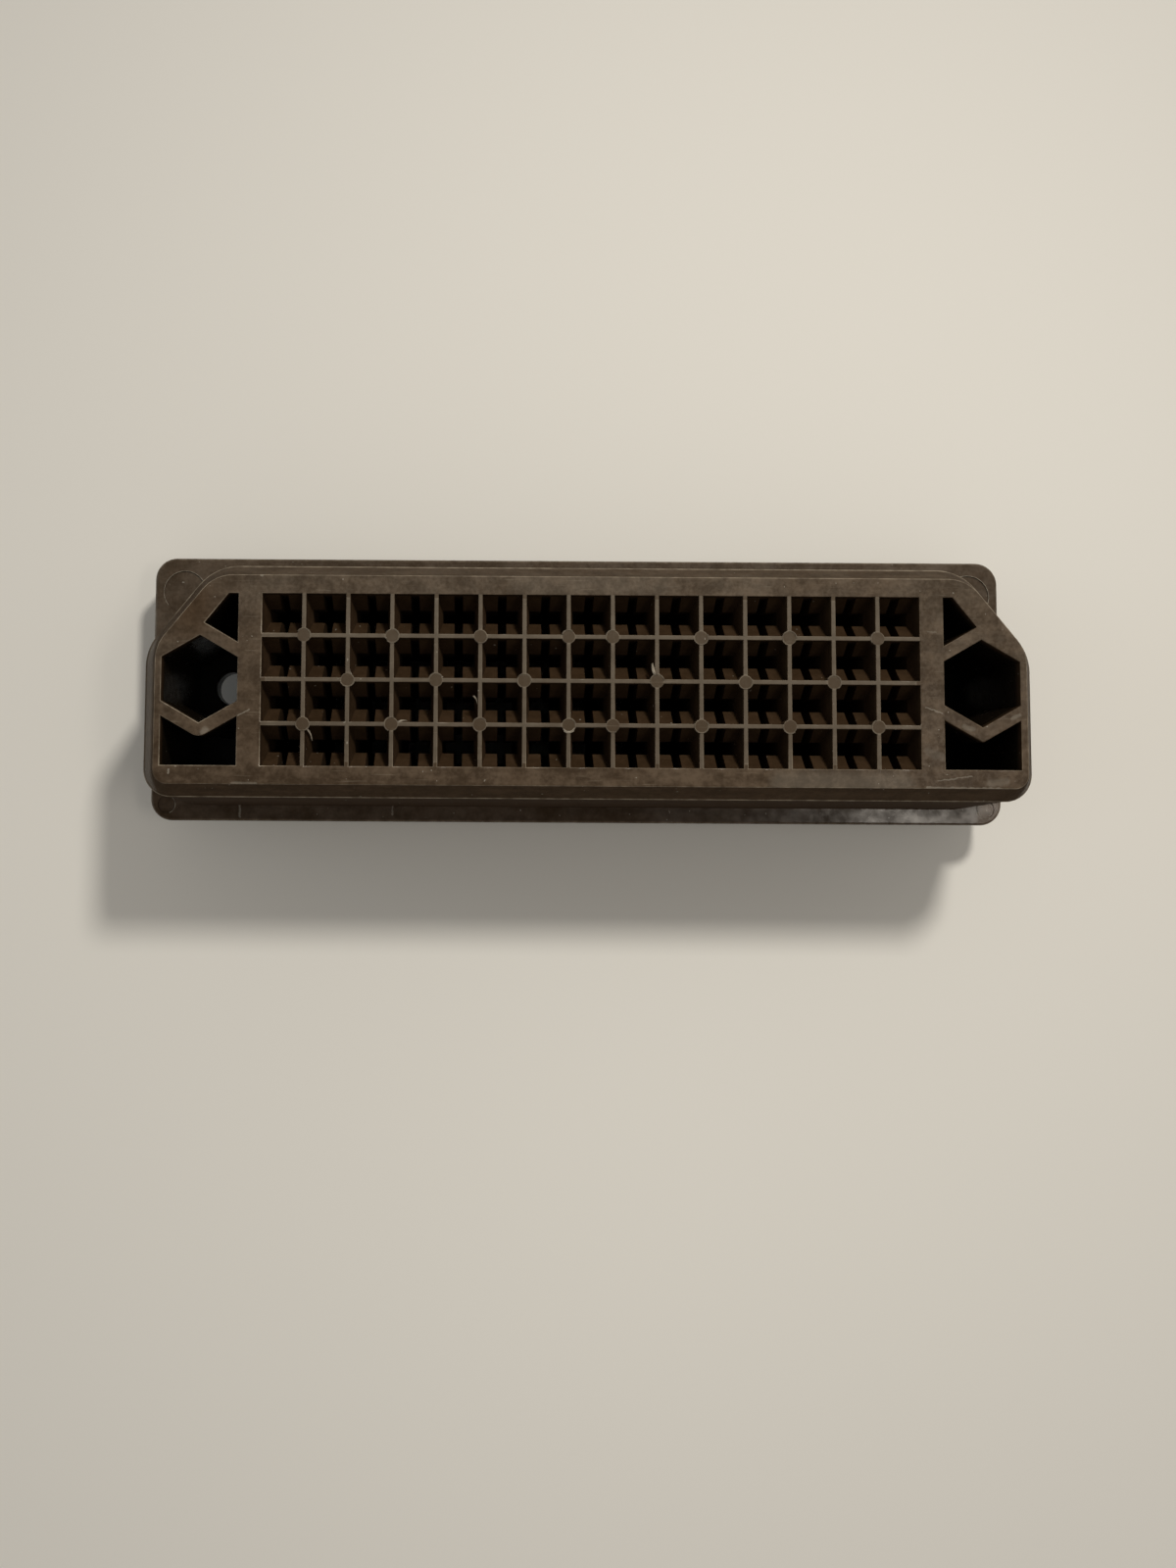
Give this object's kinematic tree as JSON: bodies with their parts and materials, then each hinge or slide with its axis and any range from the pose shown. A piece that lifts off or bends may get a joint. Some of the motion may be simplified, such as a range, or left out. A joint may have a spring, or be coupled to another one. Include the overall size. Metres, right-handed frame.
{
  "type": "avionics connector",
  "caption": "Moulded brown rack connector housing: a block with a grid of empty contact cavities, hexagonal end pockets, two cut keying corners and a mounting flange.",
  "frame": {"origin": "centre of the rear face, which the housing stands on", "axes": "+Z towards the mating face, +X along the housing, +Y towards the side with the cut corners"},
  "size_m": [0.0832, 0.0258, 0.0249],
  "materials": {
    "brown_plastic": "matt moulded plastic, grey-brown, with light worn edges"
  },
  "bodies": {
    "root": {"housing": "brown_plastic"}
  },
  "joints": []
}
